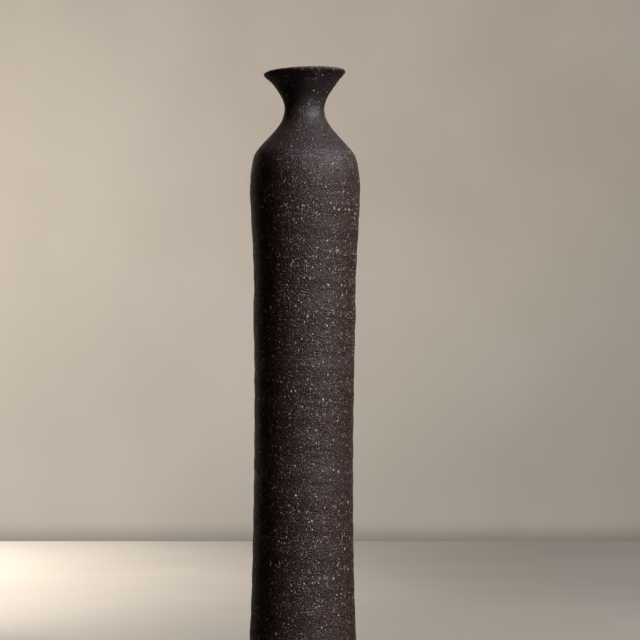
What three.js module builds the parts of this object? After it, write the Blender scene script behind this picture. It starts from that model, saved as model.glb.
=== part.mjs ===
// A tall stoneware bottle vase with a narrow throat and a small flared mouth.
//
// A form this tall, and too narrow for a hand, is thrown in sections on the wheel. Each
// section is rebated to seat on the one below, the seats are scored and luted together
// with slip, and the inside is lined with glaze so that the pot holds water. The clay is
// left bare outside. Every section, every ring of slip and the lining is its own solid.
//
// Millimetres, +Z up. The origin is the centre of the flat foot, on the table.

import * as THREE from 'three';

const SEGMENTS = 36;

// Outer wall, as [height, radius], from the foot to the underside of the lip.
const OUTER_WALL = [
  [0, 34.5],
  [50, 32.1],
  [100, 30.9],
  [155, 30.7],
  [215, 31.3],
  [265, 32.2],
  [306, 34.2],
  [318, 33.4],
  [326, 32.0],
  [335, 25.7],
  [345, 16.8],
  [351, 13.4],
  [357, 12.3],
  [363, 13.8],
  [370, 18.2],
  [377.9, 25.1],
];

// Inner wall, as [height, radius], from the top of the floor's corner to the lip.
const INNER_WALL = [
  [17, 28.3],
  [60, 27.3],
  [155, 26.3],
  [265, 27.8],
  [304, 29.6],
  [317, 28.8],
  [326, 26.2],
  [335, 19.8],
  [344, 12.1],
  [350, 9.3],
  [357, 8.6],
  [364, 10.9],
  [372, 16.0],
  [379.6, 23.2],
];

const FOOT_BEVEL = 1.6;
const FLOOR_THICKNESS = 7;
const FLOOR_CORNER_RADIUS = 10;
const LIP_RADIUS = 1.25;
const RIM_TILT = THREE.MathUtils.degToRad(2.5);
const THROAT_HEIGHT = 357;
const LIP_HEIGHT = 380;

// Luted joints: the height of each, the slip's thickness, and the rebate that centres the
// upper section on the lower one.
const BASE_JOINT = 122;
const WAIST_JOINT = 195;
const SHOULDER_JOINT = 326;
const THROAT_JOINT = 355.5;
const SLIP_THICKNESS = 0.6;
const REBATE_RISE = 2;
const REBATE_SHARE = 0.38;
const CLEARANCE = 0.3;

const GLAZE_THICKNESS = 0.5;
const GLAZE_TOP = 373;

const stoneware = () => new THREE.MeshStandardMaterial({
  color: 0x43322d,
  roughness: 0.85,
  metalness: 0,
});

const slip = () => new THREE.MeshStandardMaterial({
  color: 0x352824,
  roughness: 0.75,
  metalness: 0,
});

const glaze = () => new THREE.MeshStandardMaterial({
  color: 0x1c1411,
  roughness: 0.15,
  metalness: 0,
});

// The wall's slope at station i: zero at a turning point, else the harmonic mean of the
// slopes on both sides, which never overshoots.
function stationSlope(wall, i) {
  const rise = (k) => (wall[k + 1][1] - wall[k][1]) / (wall[k + 1][0] - wall[k][0]);
  if (i === 0) return rise(0);
  if (i === wall.length - 1) return rise(i - 1);
  const below = rise(i - 1);
  const above = rise(i);
  return below * above <= 0 ? 0 : (2 * below * above) / (below + above);
}

// The wall's radius at a height, by a smooth cubic from station to station.
function radiusAt(wall, height) {
  const after = wall.findIndex((station) => station[0] >= height);
  const i = Math.max(after, 1) - 1;
  const [z0, r0] = wall[i];
  const [z1, r1] = wall[i + 1];
  const span = z1 - z0;
  const t = (height - z0) / span;
  const m0 = stationSlope(wall, i) * span;
  const m1 = stationSlope(wall, i + 1) * span;
  return r0 * (1 + 2 * t) * (1 - t) ** 2 + r1 * t * t * (3 - 2 * t)
    + m0 * t * (1 - t) ** 2 - m1 * t * t * (1 - t);
}

// The height levels of a wall between two heights: its ends, and every station and middle
// between stations that lies clear of the ends.
function levelsBetween(wall, low, high) {
  const levels = wall.flatMap(([z], i) => (i === 0 ? [z] : [(wall[i - 1][0] + z) / 2, z]));
  const inside = levels.filter((z) => z > low + 1 && z < high - 1);
  return [low, ...inside, high];
}

function wallPoints(wall, low, high) {
  return levelsBetween(wall, low, high).map((z) => new THREE.Vector2(radiusAt(wall, z), z));
}

// A stretch of the inner wall moved towards the axis by a distance square to the wall.
function liningPoints(low, high, distance) {
  const step = 0.5;
  return levelsBetween(INNER_WALL, low, high).map((z) => {
    const slope = (radiusAt(INNER_WALL, z + step) - radiusAt(INNER_WALL, z - step)) / (2 * step);
    return new THREE.Vector2(radiusAt(INNER_WALL, z) - distance * Math.hypot(1, slope), z);
  });
}

function arcPoints(centreRadius, centreHeight, radius, fromDegrees, toDegrees, steps) {
  const points = [];
  for (let i = 0; i <= steps; i += 1) {
    const angle = THREE.MathUtils.degToRad(
      THREE.MathUtils.lerp(fromDegrees, toDegrees, i / steps),
    );
    points.push(new THREE.Vector2(
      centreRadius + radius * Math.cos(angle),
      centreHeight + radius * Math.sin(angle),
    ));
  }
  return points;
}

// The corner between floor and wall inside the pot, seen from a lining of this thickness.
function floorCorner(distance) {
  const centreRadius = INNER_WALL[0][1] - FLOOR_CORNER_RADIUS;
  const centreHeight = FLOOR_THICKNESS + FLOOR_CORNER_RADIUS;
  return arcPoints(centreRadius, centreHeight, FLOOR_CORNER_RADIUS - distance, -90, 0, 5);
}

// The radii of a joint, from the outside in.
function joint(height) {
  const outer = radiusAt(OUTER_WALL, height);
  const inner = radiusAt(INNER_WALL, height + REBATE_RISE);
  const tongue = inner + (outer - inner) * REBATE_SHARE;
  return {
    low: height - SLIP_THICKNESS / 2,
    high: height + SLIP_THICKNESS / 2,
    outer,
    inner,
    tongue,
    riserInner: tongue + CLEARANCE,
    riserOuter: tongue + CLEARANCE + SLIP_THICKNESS,
    skirt: tongue + 2 * CLEARANCE + SLIP_THICKNESS,
  };
}

// The top seat of a lower section, from the outside in: a ledge, then the raised tongue.
function seatPoints(height) {
  const { low, outer, inner, tongue } = joint(height);
  return [
    new THREE.Vector2(outer, low),
    new THREE.Vector2(tongue, low),
    new THREE.Vector2(tongue, low + REBATE_RISE),
    new THREE.Vector2(inner, low + REBATE_RISE),
  ];
}

// The bottom of an upper section, from the inside out: the recess, then the skirt.
function skirtPoints(height) {
  const { high, outer, inner, skirt } = joint(height);
  return [
    new THREE.Vector2(inner, high + REBATE_RISE),
    new THREE.Vector2(skirt, high + REBATE_RISE),
    new THREE.Vector2(skirt, high),
    new THREE.Vector2(outer, high),
  ];
}

// Tilts the mouth about the throat, as the mouth was pulled a little out of level.
function tiltMouth(geometry) {
  const position = geometry.getAttribute('position');
  for (let i = 0; i < position.count; i += 1) {
    const share = THREE.MathUtils.smoothstep(position.getZ(i), THROAT_HEIGHT, LIP_HEIGHT);
    position.setZ(i, position.getZ(i) + share * Math.tan(RIM_TILT) * position.getX(i));
  }
  return geometry;
}

// A solid of revolution about +Z from an outline that runs up its outside.
function turn(name, outline, material) {
  const geometry = new THREE.LatheGeometry(outline, SEGMENTS).rotateX(Math.PI / 2);
  const mesh = new THREE.Mesh(tiltMouth(geometry), material);
  mesh.name = name;
  return mesh;
}

function turnRing(name, outline, material) {
  return turn(name, [...outline, outline[0].clone()], material);
}

function baseSection() {
  const { low, inner } = joint(BASE_JOINT);
  const innerTop = low + REBATE_RISE;
  const outline = [
    new THREE.Vector2(0, 0),
    new THREE.Vector2(radiusAt(OUTER_WALL, 0) - FOOT_BEVEL, 0),
    ...wallPoints(OUTER_WALL, FOOT_BEVEL, low).slice(0, -1),
    ...seatPoints(BASE_JOINT).slice(0, -1),
    new THREE.Vector2(inner, innerTop),
    ...wallPoints(INNER_WALL, INNER_WALL[0][0], innerTop).slice(1, -1).reverse(),
    ...floorCorner(0).reverse(),
    new THREE.Vector2(0, FLOOR_THICKNESS),
  ];
  return turn('base_section', outline, stoneware());
}

// A section of wall between two luted joints.
function wallSection(name, bottomJoint, topJoint) {
  const { high } = joint(bottomJoint);
  const { low } = joint(topJoint);
  const outside = wallPoints(OUTER_WALL, high, low).slice(1, -1);
  const inside = wallPoints(INNER_WALL, high + REBATE_RISE, low + REBATE_RISE).slice(1, -1);
  const outline = [
    ...skirtPoints(bottomJoint),
    ...outside,
    ...seatPoints(topJoint),
    ...inside.reverse(),
  ];
  return turnRing(name, outline, stoneware());
}

function flaredMouth() {
  const { high } = joint(THROAT_JOINT);
  const [lipLow, lipOuter] = OUTER_WALL[OUTER_WALL.length - 1];
  const [lipHigh, lipInner] = INNER_WALL[INNER_WALL.length - 1];
  const lip = arcPoints((lipOuter + lipInner) / 2, (lipLow + lipHigh) / 2, LIP_RADIUS, -42, 138, 6);
  const outline = [
    ...skirtPoints(THROAT_JOINT),
    ...wallPoints(OUTER_WALL, high, lipLow).slice(1, -1),
    ...lip,
    ...wallPoints(INNER_WALL, high + REBATE_RISE, lipHigh).slice(1, -1).reverse(),
  ];
  return turnRing('flared_mouth', outline, stoneware());
}

// The slip in a joint: an outer ledge, a riser round the tongue and an inner ledge.
function slipSeam(name, height) {
  const { low, high, outer, inner, riserInner, riserOuter } = joint(height);
  const outline = [
    new THREE.Vector2(outer, low),
    new THREE.Vector2(outer, high),
    new THREE.Vector2(riserOuter, high),
    new THREE.Vector2(riserOuter, high + REBATE_RISE),
    new THREE.Vector2(inner, high + REBATE_RISE),
    new THREE.Vector2(inner, low + REBATE_RISE),
    new THREE.Vector2(riserInner, low + REBATE_RISE),
    new THREE.Vector2(riserInner, low),
  ];
  return turnRing(name, outline, slip());
}

// A glassy skin inside the pot, poured in and out again, which pools on the floor.
function linerGlaze() {
  const start = INNER_WALL[0][0];
  const clayFace = [
    ...floorCorner(CLEARANCE),
    ...liningPoints(start, GLAZE_TOP, CLEARANCE).slice(1),
  ];
  const openFace = [
    ...floorCorner(CLEARANCE + GLAZE_THICKNESS),
    ...liningPoints(start, GLAZE_TOP, CLEARANCE + GLAZE_THICKNESS).slice(1),
  ];
  const poolRadius = clayFace[0].x - CLEARANCE;
  const outline = [
    new THREE.Vector2(0, FLOOR_THICKNESS),
    new THREE.Vector2(poolRadius, FLOOR_THICKNESS),
    ...clayFace,
    ...openFace.reverse(),
    new THREE.Vector2(0, openFace[openFace.length - 1].y),
  ];
  return turn('liner_glaze', outline, glaze());
}

const vase = new THREE.Group();
vase.add(
  baseSection(),
  slipSeam('base_slip_seam', BASE_JOINT),
  wallSection('lower_wall_section', BASE_JOINT, WAIST_JOINT),
  slipSeam('waist_slip_seam', WAIST_JOINT),
  wallSection('upper_wall_section', WAIST_JOINT, SHOULDER_JOINT),
  slipSeam('shoulder_slip_seam', SHOULDER_JOINT),
  wallSection('shoulder_section', SHOULDER_JOINT, THROAT_JOINT),
  slipSeam('throat_slip_seam', THROAT_JOINT),
  flaredMouth(),
  linerGlaze(),
);

export default vase;
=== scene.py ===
"""A tall stoneware bottle vase: bare grogged clay outside, a poured glaze inside.

Every piece is turned again, finely, from the outline of its CAD node, and carries what the
potter's hands left: finger rings, drag marks, a slight lean and an uneven wall. Metres, +Z
up, with the foot on the floor and the camera on the -Y side.
"""

import math
from types import SimpleNamespace

import bpy
import numpy as np
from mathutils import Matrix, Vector


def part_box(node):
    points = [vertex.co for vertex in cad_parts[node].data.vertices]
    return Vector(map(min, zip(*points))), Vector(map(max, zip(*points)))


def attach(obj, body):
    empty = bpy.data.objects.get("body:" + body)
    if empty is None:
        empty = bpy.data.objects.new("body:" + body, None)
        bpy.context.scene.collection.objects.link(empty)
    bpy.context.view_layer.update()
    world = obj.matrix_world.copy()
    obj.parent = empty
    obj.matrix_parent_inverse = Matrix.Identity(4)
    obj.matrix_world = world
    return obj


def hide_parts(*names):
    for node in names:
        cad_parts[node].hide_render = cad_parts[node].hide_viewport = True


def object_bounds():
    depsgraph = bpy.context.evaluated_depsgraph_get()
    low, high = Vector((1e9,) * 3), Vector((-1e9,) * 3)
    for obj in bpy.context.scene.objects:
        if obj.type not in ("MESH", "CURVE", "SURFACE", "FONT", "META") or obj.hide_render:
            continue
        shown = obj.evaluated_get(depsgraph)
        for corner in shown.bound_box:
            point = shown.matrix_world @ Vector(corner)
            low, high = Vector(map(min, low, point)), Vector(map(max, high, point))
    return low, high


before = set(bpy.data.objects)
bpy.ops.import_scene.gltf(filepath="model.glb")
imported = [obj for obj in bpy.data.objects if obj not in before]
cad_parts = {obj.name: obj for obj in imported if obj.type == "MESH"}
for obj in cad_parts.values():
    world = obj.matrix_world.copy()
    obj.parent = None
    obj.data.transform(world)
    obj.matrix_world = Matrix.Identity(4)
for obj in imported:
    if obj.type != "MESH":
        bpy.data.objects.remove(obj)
cad_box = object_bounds()

MM = 0.001
TINY = 1e-6
DIGITS = 6

CLAY_NODES = (
    "base_section",
    "lower_wall_section",
    "upper_wall_section",
    "shoulder_section",
    "flared_mouth",
)
SEAM_NODES = (
    "base_slip_seam",
    "waist_slip_seam",
    "shoulder_slip_seam",
    "throat_slip_seam",
)
MOUTH_NODE = "flared_mouth"
GLAZE_NODE = "liner_glaze"

# The pot's levels, from the frame. The tilted rim's own height is the one on the axis.
TOP = cad_box[1].z
BASE, WAIST, SHOULDER, THROAT = (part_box(node)[0].z for node in SEAM_NODES)
FLOOR_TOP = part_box(GLAZE_NODE)[0].z
LIP = [v.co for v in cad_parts[MOUTH_NODE].data.vertices]
LIP_RIGHT = max(LIP, key=lambda p: p.x)
LIP_LEFT = min(LIP, key=lambda p: p.x)
RIM_SLOPE = (LIP_RIGHT.z - LIP_LEFT.z) / (LIP_RIGHT.x - LIP_LEFT.x)
RIM = TOP - RIM_SLOPE * LIP_RIGHT.x

# How finely the pieces are turned: points round the pot, and steps along the outline. A
# stretch that rises by more than the share CLIMB of its length takes the first step of a
# pair, and a flatter or falling one takes the second.
AROUND = 256
FINE_STEP = 0.85 * MM
COARSE_STEP = 2.4 * MM
USUAL_STEPS = (FINE_STEP, COARSE_STEP)
STEPS = {MOUTH_NODE: (FINE_STEP, FINE_STEP), GLAZE_NODE: (COARSE_STEP, COARSE_STEP)}
CLIMB = 0.2

# How an outline is read: the turn that is a true edge, the length from which a run shows, how
# near the widest radius counts as there, and how much longer than the next one a straight
# stretch is that keeps its own direction. Hand work fades out within AXIS_EASE of the axis.
SHARP_TURN = math.radians(35)
LONG_RUN = 6 * MM
NEARLY_WIDEST = 0.01 * MM
STRAIGHT = 2.5
AXIS_EASE = 10 * MM

# The potter's hand: pitches and depths of what it leaves on the wall.
RING_PITCH = 16.5 * MM
RING_DEPTH = 0.11 * MM
FINGER_PITCH = 5.3 * MM
FINGER_DEPTH = 0.03 * MM
RING_DRIFT = 1.3
WOBBLE_DEPTH = 0.2 * MM
DRAG_DEPTH = 0.045 * MM
GRAIN_DEPTH = 0.03 * MM
INSIDE_RING_DEPTH = 0.2 * MM
CHIP_DEPTH = 0.32 * MM
LUMP_DEPTH = 0.1 * MM
NECK_SOFTENING = 0.6
LEAN = 1.5 * MM
NECK_RETURN = 0.45 * MM
CORNER_ROUNDING = 0.27 * MM
CORNER_MIDDLE = 0.3 * MM
CORNER_WIDTH = 2.2 * MM
SEAM_WIDTH = 1.6 * MM

# Its irregular marks: the random seed, cells round the pot, and the height of a cell.
WOBBLE = (11, 5, 46 * MM)
DRIFT = (21, 4, 30 * MM)
DRAG = (22, 24, 1.4 * MM)
GRAIN = (23, 210, 0.9 * MM)
CHIPS = (24, 90, 1.1 * MM)
LUMPS = (25, 44, 2.0 * MM)

# Its single marks: depth, height above a level, and half width.
SWELL = (0.28 * MM, 33 * MM, 8 * MM)
HOLLOW = (-0.3 * MM, 52 * MM, 9 * MM)
LEFT_BULGE = (0.14 * MM, 29 * MM, 13 * MM)
WAIST_LINE = (-0.15 * MM, 0, 0.7 * MM)
LIP_CURL = (-0.5 * MM, -5.5 * MM, 3.6 * MM)
MOUTH_LEAN = (0.5 * MM, -9 * MM, 5 * MM)

# Where marks come in or fade out: two heights above a level.
NECK_FADE = (-6 * MM, 8 * MM)
NECK_BEND = (-8 * MM, 10 * MM)
FLARE_FADE = (2 * MM, 9 * MM)
LIP_FADE = (-7 * MM, -1 * MM)
FLOOR_FADE = (3 * MM, 24 * MM)

# Camera and stage. The floor is a shelf, and the wall stands a little way behind its edge.
CAMERA_DISTANCE = 1.30
CAMERA_SIDE = 10.7 * MM
CAMERA_HEIGHT = 0.201
CAMERA_PITCH = math.radians(1.09)
LENS = 118.0
SENSOR = 36.0
STAGE_HALF = 1.6
FLOOR_FRONT = -1.8
FLOOR_BACK = 1.03
WALL_BACK = 1.75
WALL_LOW = -0.6
WALL_HIGH = 1.9


# ------------------------------------------------------------------ outlines

def cad_outline(node):
    """The node's outline as (radius, height) corners in order, running up its outside.

    The corners are read from the node's edges in the half-plane that faces the camera, and
    rounded to a micrometre, so that edges that meet share a corner. An outline that meets
    the axis starts and ends there; any other closes on itself.
    """
    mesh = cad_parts[node].data
    links = {}
    for edge in mesh.edges:
        ends = [mesh.vertices[i].co for i in edge.vertices]
        if all(abs(p.x) < TINY and p.y < TINY for p in ends):
            a, b = [(round(abs(p.y), DIGITS), round(p.z, DIGITS)) for p in ends]
            if a != b:
                links.setdefault(a, set()).add(b)
                links.setdefault(b, set()).add(a)
    on_axis = sorted((corner for corner in links if corner[0] < TINY), key=lambda c: c[1])
    walk = [on_axis[0] if on_axis else min(links)]
    while True:
        ahead = [corner for corner in sorted(links[walk[-1]]) if corner not in walk]
        if not ahead:
            break
        walk.append(ahead[0])
    corners = np.array(walk)
    after = np.roll(corners, -1, axis=0)
    area = np.sum(corners[:, 0] * after[:, 1] - after[:, 0] * corners[:, 1])
    return (corners if area > 0 else corners[::-1]), bool(on_axis)


def unit(vectors):
    return vectors / np.linalg.norm(vectors, axis=-1, keepdims=True)


def smooth_runs(corners, meets_axis):
    """The outline cut at its sharp corners into runs of corners that flow smoothly."""
    steps = unit(np.roll(corners, -1, axis=0) - corners)
    turns = np.arccos(np.clip(np.sum(steps * np.roll(steps, 1, axis=0), axis=1), -1, 1))
    sharp = [i for i in range(len(corners)) if turns[i] > SHARP_TURN]
    if meets_axis:
        sharp = sorted({0, len(corners) - 1, *sharp})
        return [corners[a:b + 1] for a, b in zip(sharp, sharp[1:])]
    looped = np.concatenate([corners, corners])
    ends = sharp[1:] + [sharp[0] + len(corners)]
    return [looped[a:b + 1] for a, b in zip(sharp, ends)]


def run_tangents(run):
    """A direction at each corner of a run; a long straight keeps its own direction."""
    steps = np.diff(run, axis=0)
    lengths = np.linalg.norm(steps, axis=1)
    steps = steps / lengths[:, None]
    tangents = np.empty_like(run)
    for i in range(1, len(run) - 1):
        before, after = lengths[i - 1], lengths[i]
        if before > STRAIGHT * after:
            tangents[i] = steps[i - 1]
        elif after > STRAIGHT * before:
            tangents[i] = steps[i]
        else:
            tangents[i] = unit(steps[i - 1] * after + steps[i] * before)
    if len(run) == 2:
        tangents[:] = steps[0]
    else:
        tangents[0] = 2 * steps[0] * np.dot(steps[0], tangents[1]) - tangents[1]
        tangents[-1] = 2 * steps[-1] * np.dot(steps[-1], tangents[-2]) - tangents[-2]
    return tangents


def fine_run(run, wall_step, other_step):
    """The run as closely spaced points on a smooth curve (a cubic Hermite) through its corners."""
    tangents = run_tangents(run)
    points = [run[:1]]
    for a, b, ta, tb in zip(run, run[1:], tangents, tangents[1:]):
        length = np.linalg.norm(b - a)
        climbs = (b - a)[1] > CLIMB * length
        step = wall_step if climbs else other_step
        count = max(1, math.ceil(length / step))
        t = np.linspace(0, 1, count + 1)[1:, None]
        points.append(
            a * (1 + 2 * t) * (1 - t) ** 2
            + b * t * t * (3 - 2 * t)
            + ta * length * t * (1 - t) ** 2
            - tb * length * t * t * (1 - t)
        )
    return np.concatenate(points)


def run_normals(points):
    """Outward normals; the outline runs up its outside, so they lie to its right."""
    along = unit(np.gradient(points, axis=0))
    return np.stack([along[:, 1], -along[:, 0]], axis=1)


def fine_outline(node):
    """The node's fine outline: points, outward normals, and how far each point is exposed.

    A long run, or one at the widest radius, is a face that shows. The short ones between are
    the hidden faces of the joints, which keep the shape that the CAD gave them. Exposure
    fades out where a face turns level, so that relief doesn't lift the foot or the lip.
    """
    corners, meets_axis = cad_outline(node)
    widest = corners[:, 0].max()
    points, normals, exposed = [], [], []
    for run in smooth_runs(corners, meets_axis):
        fine = fine_run(run, *STEPS.get(node, USUAL_STEPS))
        length = np.linalg.norm(np.diff(fine, axis=0), axis=1).sum()
        shows = float(length > LONG_RUN or run[:, 0].max() > widest - NEARLY_WIDEST)
        facing = run_normals(fine)
        shown = shows * np.clip(2 * np.abs(facing[:, 0]), 0, 1)
        if points and shown[0] > exposed[-1][-1]:
            exposed[-1][-1] = shown[0]
            normals[-1][-1] = facing[0]
        first = 1 if points else 0
        points.append(fine[first:])
        normals.append(facing[first:])
        exposed.append(shown[first:])
    points, normals, exposed = (np.concatenate(part) for part in (points, normals, exposed))
    if not meets_axis:
        if exposed[0] > exposed[-1]:
            exposed[-1], normals[-1] = exposed[0], normals[0]
        points, normals, exposed = points[1:], normals[1:], exposed[1:]
    return points, normals, exposed, meets_axis


# ---------------------------------------------------------- the potter's hand

def wall_noise(pattern, angle, height):
    """Smooth random values from -1 to 1, in cells of the pattern's size."""
    seed, around, tall = pattern
    rows = math.ceil(TOP / tall) + 4
    table = np.random.default_rng(seed).uniform(-1, 1, (rows, around))
    across = angle / math.tau * around
    up = np.clip(height / tall + 1, 0, rows - 2)
    i, j = np.floor(across).astype(int), np.floor(up).astype(int)
    s, t = across - i, up - j
    s, t = s * s * (3 - 2 * s), t * t * (3 - 2 * t)
    left, right = i % around, (i + 1) % around
    low = table[j, left] * (1 - s) + table[j, right] * s
    high = table[j + 1, left] * (1 - s) + table[j + 1, right] * s
    return low * (1 - t) + high * t


def ramp(values, start, end):
    t = np.clip((values - start) / (end - start), 0, 1)
    return t * t * (3 - 2 * t)


def bell(values, centre, width):
    return np.exp(-(((values - centre) / width) ** 2))


def rise(height, level, fade):
    """From 0 to 1 over a fade's two heights above this level."""
    start, end = fade
    return ramp(height, level + start, level + end)


def mark(height, level, shape):
    """A smooth swell or hollow at a height above this level."""
    depth, above, width = shape
    return depth * bell(height, level + above, width)


def ring_phase(angle, height, pitch):
    """The phase in radians of a spiral of this pitch, which runs down towards the right."""
    return math.tau * height / pitch + angle


def sway(angle, height):
    """How far the whole wall stands out of true here, outside and inside alike."""
    uneven = WOBBLE_DEPTH * wall_noise(WOBBLE, angle, height)
    leftness = 0.5 - 0.5 * np.sin(angle)
    bumps = mark(height, WAIST, SWELL) + mark(height, WAIST, HOLLOW)
    bumps = bumps + leftness * mark(height, WAIST, LEFT_BULGE)
    body = (uneven + bumps) * (1 - ramp(height, SHOULDER, THROAT))
    from_corner = np.abs(height - SHOULDER - CORNER_MIDDLE) / CORNER_WIDTH
    rounding = -CORNER_ROUNDING * (1 - np.clip(from_corner, 0, 1)) ** 2
    return body + mark(height, RIM, LIP_CURL) + rounding


def outside_relief(angle, height):
    """Finger rings, drag marks and grain on the outer skin.

    They die out at the seams of the shoulder and the throat, where the wall turns, because
    relief along two directions would open a groove there.
    """
    drift = RING_DRIFT * wall_noise(DRIFT, angle, height)
    rings = RING_DEPTH * np.cos(ring_phase(angle, height, RING_PITCH) + drift)
    fingers = FINGER_DEPTH * np.cos(ring_phase(angle, height, FINGER_PITCH) + 2 * drift)
    drag = DRAG_DEPTH * wall_noise(DRAG, angle, height)
    grain = GRAIN_DEPTH * wall_noise(GRAIN, angle, height)
    calm = 1 - bell(height, SHOULDER, SEAM_WIDTH) - bell(height, THROAT, SEAM_WIDTH)
    softened = 1 - NECK_SOFTENING * rise(height, SHOULDER, NECK_FADE)
    worked = (rings + fingers + drag + grain) * calm * softened
    chips = CHIP_DEPTH * wall_noise(CHIPS, angle, height) * rise(height, RIM, LIP_FADE)
    lumps = LUMP_DEPTH * wall_noise(LUMPS, angle, height) * rise(height, THROAT, FLARE_FADE)
    return worked + mark(height, WAIST, WAIST_LINE) + chips + lumps


def inside_relief(angle, height):
    """Finger rings on the inside, which the glaze follows."""
    rings = INSIDE_RING_DEPTH * np.cos(ring_phase(angle, height, RING_PITCH))
    below_mouth = 1 - ramp(height, SHOULDER, THROAT)
    return rings * rise(height, FLOOR_TOP, FLOOR_FADE) * below_mouth


def rim_lift(x, height):
    """How far the tilted mouth raises this point, as its CAD node does."""
    return ramp(height, THROAT, RIM) * RIM_SLOPE * x


def lean(height):
    """How far the pot leans to +X here; it returns a little at the neck and goes on in the mouth."""
    body = LEAN * ramp(height, 0, SHOULDER)
    return body - NECK_RETURN * rise(height, SHOULDER, NECK_BEND) + mark(height, RIM, MOUTH_LEAN)


# --------------------------------------------------------------------- pieces

def shaped_points(node, points, normals, exposed):
    """The outline turned round the axis and worked by hand: x, y and z of every point."""
    angle = np.linspace(0, math.tau, AROUND, endpoint=False)[None, :]
    angle = np.repeat(angle, len(points), axis=0)
    radius = np.repeat(points[:, :1], AROUND, axis=1)
    height = np.repeat(points[:, 1:], AROUND, axis=1)
    near_axis = np.clip(radius / AXIS_EASE, 0, 1)
    if node == GLAZE_NODE:
        radius = radius - inside_relief(angle, height) * near_axis
    else:
        outer = (exposed * (normals[:, 0] > 0))[:, None]
        inner = (exposed * (normals[:, 0] < 0))[:, None]
        depth = outside_relief(angle, height)
        inward = inside_relief(angle, height)
        radius = radius + normals[:, :1] * depth * outer - inward * inner
        height = height + normals[:, 1:] * depth * outer
    radius = radius + sway(angle, height) * near_axis
    x = radius * np.sin(angle)
    y = -radius * np.cos(angle)
    z = height + rim_lift(x, height)
    return x + lean(height), y, np.maximum(z, 0)


def turned_mesh(name, rows, meets_axis):
    """A closed mesh from rings of points; the first and last rings may shrink to the axis."""
    vertices = np.stack(rows, axis=2)
    rings = vertices[1:-1] if meets_axis else vertices
    poles = vertices[[0, -1]].mean(axis=1) if meets_axis else np.empty((0, 3))
    count = len(rings)
    index = np.arange(count * AROUND).reshape(count, AROUND)
    beside = np.roll(index, -1, axis=1)
    if meets_axis:
        quads = np.stack([index[:-1], beside[:-1], beside[1:], index[1:]], axis=2)
    else:
        above, above_beside = np.roll(index, -1, axis=0), np.roll(beside, -1, axis=0)
        quads = np.stack([index, beside, above_beside, above], axis=2)
    faces = quads.reshape(-1, 4).tolist()
    if meets_axis:
        bottom, top = count * AROUND, count * AROUND + 1
        faces += [(bottom, b, a) for a, b in zip(index[0].tolist(), beside[0].tolist())]
        faces += [(top, a, b) for a, b in zip(index[-1].tolist(), beside[-1].tolist())]
    mesh = bpy.data.meshes.new(name)
    mesh.from_pydata(np.concatenate([rings.reshape(-1, 3), poles]).tolist(), [], faces)
    mesh.polygons.foreach_set("use_smooth", np.ones(len(mesh.polygons), dtype=bool))
    mesh.set_sharp_from_angle(angle=SHARP_TURN)
    return mesh


def make_piece(node, material):
    points, normals, exposed, meets_axis = fine_outline(node)
    rows = shaped_points(node, points, normals, exposed)
    name = "piece_" + node.replace("_section", "_clay").replace("liner_glaze", "glaze_lining")
    piece = bpy.data.objects.new(name, turned_mesh(name, rows, meets_axis))
    bpy.context.scene.collection.objects.link(piece)
    piece.data.materials.append(material)
    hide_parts(node)
    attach(piece, "root")


# ------------------------------------------------------------------ materials

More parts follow.
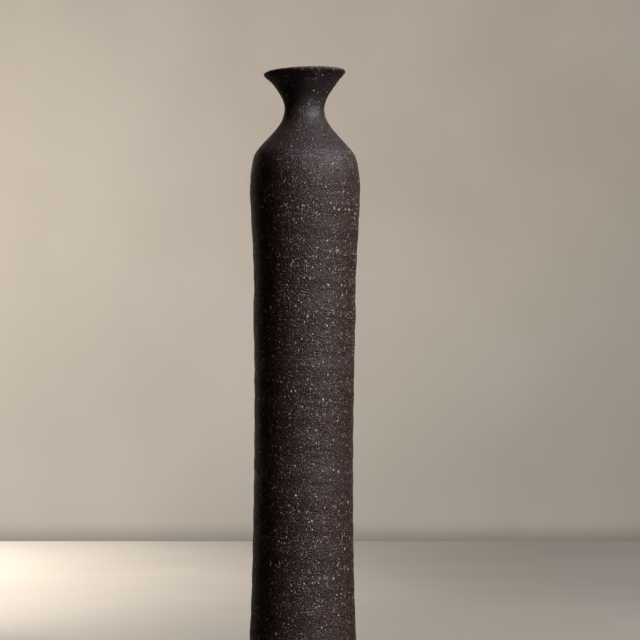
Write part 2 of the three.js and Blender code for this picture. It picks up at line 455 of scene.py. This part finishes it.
class Shader:
    """A material's node tree, with short calls for the nodes that are used here."""

    def __init__(self, name):
        self.material = bpy.data.materials.new(name)
        self.material.use_nodes = True
        self.tree = self.material.node_tree
        self.surface = self.tree.nodes["Principled BSDF"]

    def node(self, kind, inputs, **settings):
        made = self.tree.nodes.new(kind)
        for key, value in settings.items():
            setattr(made, key, value)
        for socket, value in inputs.items():
            self.feed(made.inputs[socket], value)
        return made

    def feed(self, socket, value):
        if isinstance(value, bpy.types.NodeSocket):
            self.tree.links.new(value, socket)
        else:
            socket.default_value = value

    def math(self, operation, a, b=0.0):
        return self.node("ShaderNodeMath", {0: a, 1: b}, operation=operation).outputs[0]

    def times(self, a, b):
        return self.math("MULTIPLY", a, b)

    def vector(self, operation, a, b):
        inputs = {0: a, 1: b}
        return self.node("ShaderNodeVectorMath", inputs, operation=operation).outputs[0]

    def ramp(self, value, start, end, low=0.0, high=1.0):
        """From low to high, smoothly, as the value goes from start to end."""
        inputs = {"Value": value, "From Min": start, "From Max": end, "To Min": low, "To Max": high}
        made = self.node("ShaderNodeMapRange", inputs, interpolation_type="SMOOTHSTEP")
        return made.outputs["Result"]

    def fade(self, mask, low, high):
        """Low where a mask is 0, high where it is 1."""
        return self.ramp(mask, 0.0, 1.0, low, high)

    def bell(self, value, centre, width):
        offset = self.math("DIVIDE", self.math("SUBTRACT", value, centre), width)
        return self.math("EXPONENT", self.times(self.times(offset, offset), -1.0))

    def mix(self, factor, a, b):
        made = self.node("ShaderNodeMix", {0: factor, 6: a, 7: b}, data_type="RGBA")
        return made.outputs[2]

    def object_place(self):
        return self.node("ShaderNodeTexCoord", {}).outputs["Object"]

    def millimetres(self):
        return self.vector("MULTIPLY", self.object_place(), (1000, 1000, 1000))

    def split(self, place):
        return self.node("ShaderNodeSeparateXYZ", {0: place}).outputs

    def noise(self, where, size, detail=2.0, roughness=0.5):
        """Noise from 0 to 1 with features of this size, in the units of `where`."""
        inputs = {"Vector": where, "Scale": 1 / size, "Detail": detail, "Roughness": roughness}
        return self.node("ShaderNodeTexNoise", inputs).outputs["Fac"]

    def streaks(self, where, squeeze, detail, roughness=0.5):
        """Noise from 0 to 1, squeezed by a factor along each axis."""
        return self.noise(self.vector("MULTIPLY", where, squeeze), 1.0, detail, roughness)

    def grains(self, where, density, spacing, radius, shift):
        """Scattered round grains: how strongly each shows, from 0 to 1."""
        place = self.vector("ADD", where, (shift, 2 * shift, 3 * shift))
        cells = self.node("ShaderNodeTexVoronoi", {"Vector": place, "Scale": 1 / spacing})
        chance = self.node("ShaderNodeSeparateColor", {"Color": cells.outputs["Color"]}).outputs
        size = self.times(self.fade(chance[0], 0.5, 1.0), radius / spacing)
        spot = self.ramp(cells.outputs["Distance"], size, self.times(size, 0.5))
        there = self.math("LESS_THAN", chance[1], density)
        bright = self.fade(chance[2], 0.45, 1.0)
        return self.times(self.times(spot, there), bright)

    def bump(self, height):
        """A bumped normal from a height in millimetres."""
        inputs = {"Height": height, "Distance": MM, "Strength": 1.0}
        return self.node("ShaderNodeBump", inputs).outputs["Normal"]

    def finish(self, **inputs):
        """The material, with these inputs of its shader set or linked."""
        for name, value in inputs.items():
            self.feed(self.surface.inputs[name.replace("_", " ").title().replace("Ior", "IOR")], value)
        return self.material


# Colours of the clay, from its dark body to its pale grog, and of the glaze.
CLAY_DARK = (0.0042, 0.0011, 0.0005, 1)
CLAY_WARM = (0.062, 0.0175, 0.0080, 1)
# Partly burnished clay and partly a painted cool sheen: a lighter, bluer tint that stands for the
# window's reflection.
CLAY_BURNISH_AND_SHEEN = (0.042, 0.0290, 0.0335, 1)
# The mouth's colour is painted shade: clay darkened under the flare, which faces down away from the
# light.
CLAY_MOUTH_SHADE = (0.0095, 0.0028, 0.0012, 1)
GROG_PALE = (0.50, 0.40, 0.33, 1)
GROG_DIM = (0.22, 0.145, 0.108, 1)
PIT_DARK = (0.0015, 0.001, 0.0008, 1)
# The lip's colour is a painted highlight: a lighter top edge where the rim catches light from above.
LIP_HIGHLIGHT = (0.17, 0.105, 0.07, 1)
GLAZE_BLACK = (0.010, 0.007, 0.006, 1)
GLAZE_RUST = (0.06, 0.024, 0.010, 1)
GLAZE_FRECKLE = (0.10, 0.045, 0.02, 1)

# Grains and pits in millimetres: the spacing of their cells, the largest radius, and a shift
# that keeps one set from lying on another.
LARGE_GROG = (3.2, 0.68, 3.1)
MEDIUM_GROG = (1.75, 0.5, 17.7)
SMALL_GROG = (1.15, 0.5, 41.3)
PITS = (1.4, 0.62, 77.9)
EXTRA_PITS = 0.2

# Squeezes of the noise per millimetre along x, y and z: a small one draws it out.
BAND_SQUEEZE = (0.01, 0.01, 0.09)
DRAG_SQUEEZE = (0.12, 0.12, 1.4)
PATCH_SQUEEZE = (0.6, 0.6, 1.0)
GRAIN_SQUEEZE = (1.0, 1.0, 0.7)
GLAZE_RUN_SQUEEZE = (0.35, 0.35, 0.05)
PATCH_SIZE = 6.0
SAND_SIZE = 0.6

# Zones of the clay in millimetres above a level, or above the floor for the foot: the middle
# and half width of a band, or the heights where a zone starts and is full.
WAIST_WIPE = (2.5, 5.0)
BASE_WIPE = (9.0, 12.0)
CORNER_BAND = (0.0, 3.0)
NECK_ZONE = (-34.0, -4.0)
SLOPE_ZONE = (-13.0, -1.0)
# The mouth's band of painted shade, from the throat.
MOUTH_SHADE_ZONE = (-16.0, 6.0)
# The band of painted highlight at the lip, below the tilted rim.
LIP_HIGHLIGHT_ZONE = (-1.5, -0.2)
FOOT_ZONE = (85.0, 50.0)

# How strong the zones are, and how much they change the grog.
NECK_BURNISH = 0.8
# Shares of the burnished colour, partly a painted sheen, on the slope and the wiped bands.
SLOPE_BURNISH_AND_SHEEN = 0.48
WIPE_BURNISH_AND_SHEEN = 0.28
# How far the painted shade on the mouth covers the clay's colour.
MOUTH_SHADE_STRENGTH = 0.93
BAND_WANDER = 5.0
RING_GROG = 0.15
CORNER_GROG = 0.4
FOOT_GROG = 0.75
BURNISHED_GROG = 0.25
SHADED_MOUTH_GROG = 0.35

# Most of a noise lies in this span.
NOISE_SPAN = (0.35, 0.65)

# How the clay shines, and how far its skin stands out, in millimetres.
CLAY_SPECULAR = 0.4
BARE_ROUGHNESS = 0.58
GRIT_POLISH = 0.25
BURNISHED_ROUGHNESS = 0.34
SHADED_MOUTH_ROUGHNESS = 0.65
SAND_HEIGHT = 0.6
SHADED_MOUTH_SAND_HEIGHT = 0.35
GROG_HEIGHT = 0.16
DRAG_HEIGHT = 0.18
PIT_HEIGHT = 0.25


def clay_zones(s, place):
    """Masks over the pot: rings, bands and patches, where the clay is worked, and where shade, sheen
    and highlight are painted.

    Heights are in millimetres, like the place. The waist and the base seam were wiped with a
    wet finger and the shoulder was burnished; these smoother zones also carry a painted cool
    sheen. The mouth carries painted shade under the flare, and the lip's top edge a painted
    highlight.
    """
    waist, base, shoulder, throat, rim = (
        level / MM for level in (WAIST, BASE, SHOULDER, THROAT, RIM)
    )
    x, y, z = s.split(place)

    def band(level, shape):
        above, width = shape
        return s.bell(z, level + above, width)

    def zone(level, heights, full=1.0):
        start, end = heights
        return s.ramp(z, level + start, level + end, 0.0, full)

    zones = SimpleNamespace()
    zones.bands = s.streaks(place, BAND_SQUEEZE, 2.0)
    zones.patches = s.noise(s.vector("MULTIPLY", place, PATCH_SQUEEZE), PATCH_SIZE, 2.0)
    angle = s.math("ARCTAN2", x, s.times(y, -1.0))
    phase = s.math("ADD", s.times(z, math.tau * MM / RING_PITCH), angle)
    zones.rings = s.math("COSINE", s.math("ADD", phase, s.times(zones.bands, BAND_WANDER)))
    wiped = s.math("MAXIMUM", band(waist, WAIST_WIPE), band(base, BASE_WIPE))
    zones.wiped = s.times(wiped, s.ramp(zones.patches, 0.35, 0.6, 0.45, 0.95))
    neck = s.times(zone(shoulder, NECK_ZONE), NECK_BURNISH)
    zones.burnished = s.math("MAXIMUM", zones.wiped, neck)
    # Under the shoulder's corner the clay takes the burnished colour with its painted sheen.
    zones.slope = zone(shoulder, SLOPE_ZONE, SLOPE_BURNISH_AND_SHEEN)
    zones.corner = band(shoulder, CORNER_BAND)
    zones.foot = zone(0.0, FOOT_ZONE)
    # The mouth zone: painted shade in the colour, and rougher clay with less grog.
    zones.smoked = zone(throat, MOUTH_SHADE_ZONE, MOUTH_SHADE_STRENGTH)
    # The lip's top edge, where the painted highlight lies.
    above_tilt = s.math("SUBTRACT", z, s.times(x, RIM_SLOPE))
    lip_start, lip_full = LIP_HIGHLIGHT_ZONE
    zones.lip = s.ramp(above_tilt, rim + lip_start, rim + lip_full)
    return zones


def clay_grains(s, place, zones, grog_share):
    """Grog of three sizes, and pits; there is less where a hand or a sponge smoothed the clay."""
    chance = s.ramp(zones.bands, *NOISE_SPAN, 0.55, 1.0)
    chance = s.math("ADD", chance, s.times(zones.rings, RING_GROG))
    chance = s.math("ADD", chance, s.times(zones.corner, CORNER_GROG))
    chance = s.times(chance, s.ramp(zones.patches, *NOISE_SPAN, 0.55, 1.35))
    chance = s.times(chance, s.fade(zones.foot, grog_share, FOOT_GROG * grog_share))
    density = s.times(chance, s.fade(zones.burnished, 1.0, BURNISHED_GROG))
    fine_density = s.times(chance, s.fade(zones.smoked, 0.95, SHADED_MOUTH_GROG))
    return SimpleNamespace(
        large=s.grains(place, density, *LARGE_GROG),
        medium=s.grains(place, density, *MEDIUM_GROG),
        small=s.grains(place, fine_density, *SMALL_GROG),
        pits=s.grains(place, s.math("ADD", density, EXTRA_PITS), *PITS),
    )


def crooked_place(s, place):
    """The place bent by noise, so that the round grains turn out crooked and a little tall."""
    warp = s.node("ShaderNodeTexNoise", {"Vector": place, "Scale": 0.9}).outputs["Color"]
    warp = s.vector("MULTIPLY", s.vector("SUBTRACT", warp, (0.5, 0.5, 0.5)), (0.7, 0.7, 0.7))
    return s.vector("MULTIPLY", s.vector("ADD", place, warp), GRAIN_SQUEEZE)


def clay_colour(s, zones, grains, sand, grit):
    """The clay's colour, one layer over another."""
    # The burnished colour, partly a painted cool sheen, on the wiped bands and the slope.
    smooth = s.math("MAXIMUM", s.times(zones.wiped, WIPE_BURNISH_AND_SHEEN), zones.slope)
    # Painted shade on the mouth and throat under the flare, a little patchy.
    mouth_shade_share = s.times(zones.smoked, s.ramp(zones.patches, *NOISE_SPAN, 1.0, 0.75))
    # Painted highlight along the lip's top edge, patchy with the sand.
    highlight_share = s.times(zones.lip, s.ramp(sand, 0.4, 0.6, 0.2, 0.8))
    layers = (
        (smooth, CLAY_BURNISH_AND_SHEEN),
        (mouth_shade_share, CLAY_MOUTH_SHADE),
        (s.times(grains.pits, 0.9), PIT_DARK),
        (s.times(grains.small, 0.75), GROG_DIM),
        (s.times(grains.medium, 0.8), GROG_PALE),
        (s.times(grains.large, 0.9), GROG_PALE),
        (highlight_share, LIP_HIGHLIGHT),
    )
    colour = s.mix(grit, CLAY_DARK, CLAY_WARM)
    for share, tint in layers:
        colour = s.mix(share, colour, tint)
    return colour


def clay_roughness(s, zones, grit):
    """Matt clay, which shines more on its grit and where it was burnished, and less on the mouth,
    whose colour is painted shade.
    """
    roughness = s.math("SUBTRACT", BARE_ROUGHNESS, s.times(grit, GRIT_POLISH))
    burnished = s.fade(zones.burnished, 1.0, BURNISHED_ROUGHNESS)
    smoked = s.fade(zones.smoked, 0.0, SHADED_MOUTH_ROUGHNESS)
    return s.math("MAXIMUM", s.math("MINIMUM", roughness, burnished), smoked)


def clay_relief(s, zones, grains, sand, drag):
    """The skin's height in millimetres: sand, standing grog, drag marks and pits."""
    grog = s.math("MAXIMUM", grains.large, s.math("MAXIMUM", grains.medium, grains.small))
    relief = s.times(sand, s.fade(zones.smoked, SAND_HEIGHT, SHADED_MOUTH_SAND_HEIGHT))
    relief = s.math("ADD", relief, s.times(grog, GROG_HEIGHT))
    relief = s.math("ADD", relief, s.times(drag, DRAG_HEIGHT))
    return s.math("SUBTRACT", relief, s.times(grains.pits, PIT_HEIGHT))


def stoneware(name, grog_share):
    """Dark clay with this share of pale grog, which shows most where the wall was trimmed."""
    s = Shader(name)
    place = s.millimetres()
    crooked = crooked_place(s, place)
    zones = clay_zones(s, place)
    grains = clay_grains(s, crooked, zones, grog_share)
    sand = s.noise(crooked, SAND_SIZE, 1.0)
    drag = s.streaks(place, DRAG_SQUEEZE, 2.0, 0.6)
    grit = s.times(s.ramp(sand, 0.46, 0.61), s.ramp(drag, 0.3, 0.7, 0.65, 1.0))
    return s.finish(
        base_color=clay_colour(s, zones, grains, sand, grit),
        roughness=clay_roughness(s, zones, grit),
        normal=s.bump(clay_relief(s, zones, grains, sand, drag)),
        specular_ior_level=CLAY_SPECULAR,
    )


def liner_glaze():
    """A poured dark glaze, rusty where it runs thin and black where it pools."""
    s = Shader("liner_glaze")
    place = s.millimetres()
    runs = s.streaks(place, GLAZE_RUN_SQUEEZE, 3.0)
    freckles = s.noise(place, 1.1, 2.0)
    colour = s.mix(s.ramp(runs, 0.35, 0.7), GLAZE_BLACK, GLAZE_RUST)
    colour = s.mix(s.ramp(freckles, 0.62, 0.72, 0.0, 0.5), colour, GLAZE_FRECKLE)
    relief = s.times(s.noise(place, 3.0, 1.0), 0.05)
    roughness = s.ramp(runs, 0.3, 0.7, 0.1, 0.24)
    return s.finish(base_color=colour, roughness=roughness, normal=s.bump(relief))


# Colours of the stage, and the heights between which its plaster darkens downwards into a painted
# shadow.
FLOOR_DARK = (0.375, 0.318, 0.262, 1)
FLOOR_PALE = (0.415, 0.353, 0.292, 1)
WALL_DARK = (0.425, 0.351, 0.281, 1)
WALL_PALE = (0.47, 0.393, 0.320, 1)
WALL_FOOT_SHADOW = (0.09, 0.072, 0.056, 1)
SHADOW_FULL = -0.07
SHADOW_START = -0.03
CLOUD_SIZE = 0.35

# The room as the camera sees it past the stage, and as it lights the scene.
ROOM_SEEN = (0.40, 0.36, 0.31, 1)
ROOM_LIGHT = (0.002, 0.0015, 0.001, 1)


def plaster(name, dark, pale):
    """Mottled plaster, with a painted shadow where it stands below the level of the floor."""
    s = Shader(name)
    place = s.object_place()
    height = s.split(place)[2]
    cloud = s.noise(place, CLOUD_SIZE, 3.0)
    colour = s.mix(s.ramp(cloud, 0.3, 0.7), dark, pale)
    # Painted shadow on the wall's foot, below and behind the shelf's edge.
    unshadowed = s.ramp(height, SHADOW_FULL, SHADOW_START, 0.5, 1.0)
    return s.finish(base_color=s.mix(unshadowed, WALL_FOOT_SHADOW, colour), roughness=0.9)


# ----------------------------------------------------- stage, lights and camera

def stage_plane(name, corners, material):
    mesh = bpy.data.meshes.new(name)
    mesh.from_pydata(corners, [], [(0, 1, 2, 3)])
    mesh.materials.append(material)
    plane = bpy.data.objects.new(name, mesh)
    bpy.context.scene.collection.objects.link(plane)
    return plane


def make_stage():
    """The shelf and the wall. Reflections miss the shelf, which would grey the clay's dark side."""
    floor_corners = [
        (-STAGE_HALF, FLOOR_FRONT, 0),
        (STAGE_HALF, FLOOR_FRONT, 0),
        (STAGE_HALF, FLOOR_BACK, 0),
        (-STAGE_HALF, FLOOR_BACK, 0),
    ]
    wall_corners = [
        (-STAGE_HALF, WALL_BACK, WALL_LOW),
        (STAGE_HALF, WALL_BACK, WALL_LOW),
        (STAGE_HALF, WALL_BACK, WALL_HIGH),
        (-STAGE_HALF, WALL_BACK, WALL_HIGH),
    ]
    floor = stage_plane("floor", floor_corners, plaster("pale_floor", FLOOR_DARK, FLOOR_PALE))
    floor.visible_glossy = False
    stage_plane("backdrop", wall_corners, plaster("pale_wall", WALL_DARK, WALL_PALE))


def area_light(name, place, target, side, spread, power, colour):
    """A square light of this side, with its spread in degrees and its power in watts."""
    data = bpy.data.lights.new(name, "AREA")
    data.shape = "SQUARE"
    data.size = side
    data.spread = math.radians(spread)
    data.energy = power
    data.color = colour
    light = bpy.data.objects.new(name, data)
    bpy.context.scene.collection.objects.link(light)
    light.location = place
    aim = Vector(target) - Vector(place)
    light.rotation_euler = aim.to_track_quat("-Z", "Y").to_euler()


def make_lights():
    """A cool window at the right, and a wash each for the wall and the floor at the left."""
    area_light(
        "window",
        place=(1.28, -0.93, 1.22),
        target=(0, 0, RIM / 2),
        side=0.5,
        spread=180,
        power=62,
        colour=(0.87, 0.935, 1.0),
    )
    area_light(
        "wall_wash",
        place=(-1.3, 0.75, 0.38),
        target=(-0.35, WALL_BACK, 0.12),
        side=0.9,
        spread=95,
        power=8.3,
        colour=(0.94, 0.98, 1.0),
    )
    area_light(
        "floor_wash",
        place=(-0.8, 0.55, 0.9),
        target=(-0.8, 0.6, 0.0),
        side=0.5,
        spread=90,
        power=17.0,
        colour=(0.97, 0.97, 0.955),
    )


def make_world():
    """A room that the camera sees as pale plaster, and that lights the clay hardly at all."""
    world = bpy.data.worlds.new("studio")
    bpy.context.scene.world = world
    world.use_nodes = True
    nodes, links = world.node_tree.nodes, world.node_tree.links
    seen = nodes.new("ShaderNodeBackground")
    seen.inputs["Color"].default_value = ROOM_SEEN
    shining = nodes["Background"]
    shining.inputs["Color"].default_value = ROOM_LIGHT
    choose = nodes.new("ShaderNodeMixShader")
    links.new(nodes.new("ShaderNodeLightPath").outputs["Is Camera Ray"], choose.inputs[0])
    links.new(shining.outputs[0], choose.inputs[1])
    links.new(seen.outputs[0], choose.inputs[2])
    links.new(choose.outputs[0], nodes["World Output"].inputs["Surface"])


def make_camera():
    data = bpy.data.cameras.new("camera")
    data.lens = LENS
    data.sensor_width = SENSOR
    camera = bpy.data.objects.new("camera", data)
    bpy.context.scene.collection.objects.link(camera)
    camera.location = (CAMERA_SIDE, -CAMERA_DISTANCE, CAMERA_HEIGHT)
    camera.rotation_euler = (math.radians(90) + CAMERA_PITCH, 0, 0)
    bpy.context.scene.camera = camera


# ----------------------------------------------------------------------- build

bpy.context.scene.view_settings.view_transform = "Standard"

clay = stoneware("grogged_stoneware", 1.0)
slip = stoneware("joining_slip", 0.6)
for node in CLAY_NODES:
    make_piece(node, clay)
for node in SEAM_NODES:
    make_piece(node, slip)
make_piece(GLAZE_NODE, liner_glaze())

make_stage()
make_lights()
make_world()
make_camera()
